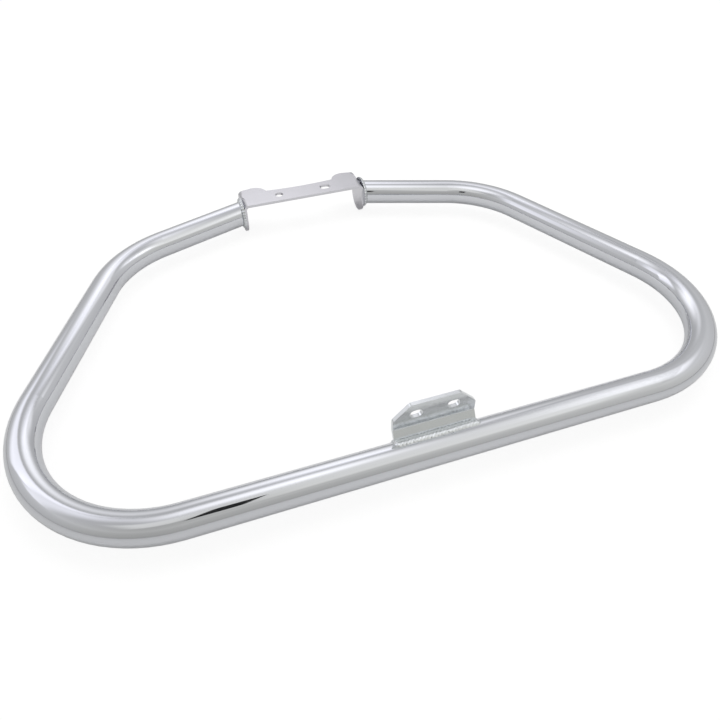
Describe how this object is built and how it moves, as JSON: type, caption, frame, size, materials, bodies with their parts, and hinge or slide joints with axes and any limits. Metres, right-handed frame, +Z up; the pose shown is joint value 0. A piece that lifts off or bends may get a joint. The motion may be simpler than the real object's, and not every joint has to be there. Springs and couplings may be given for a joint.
{
  "type": "motorcycle crash bar",
  "caption": "A rounded, tapered loop of bent chrome tube with a flat bolt-on bracket across its narrow end and a slotted bracket on its long bottom rail, lying flat",
  "frame": {"origin": "under the middle of the bar's bounding box, at its lowest point, on the surface that it lies on", "axes": "+X runs along the bottom rail to the bar's right, +Y from the rail toward the upper bracket, +Z up out of the loop's plane"},
  "size_m": [0.7496, 0.5032, 0.0787],
  "materials": {
    "tube_chrome": "bright chrome plate on polished tube",
    "bracket_chrome": "chrome plate on pressed plate, a little duller than the tube",
    "weld_chrome": "chrome plate over rippled weld beads"
  },
  "bodies": {
    "root": {"guard_tube": "tube_chrome", "upper_bracket": "bracket_chrome", "lower_bracket": "bracket_chrome", "left_ear_weld": "weld_chrome", "right_ear_weld": "weld_chrome", "foot_weld": "weld_chrome"}
  },
  "joints": []
}
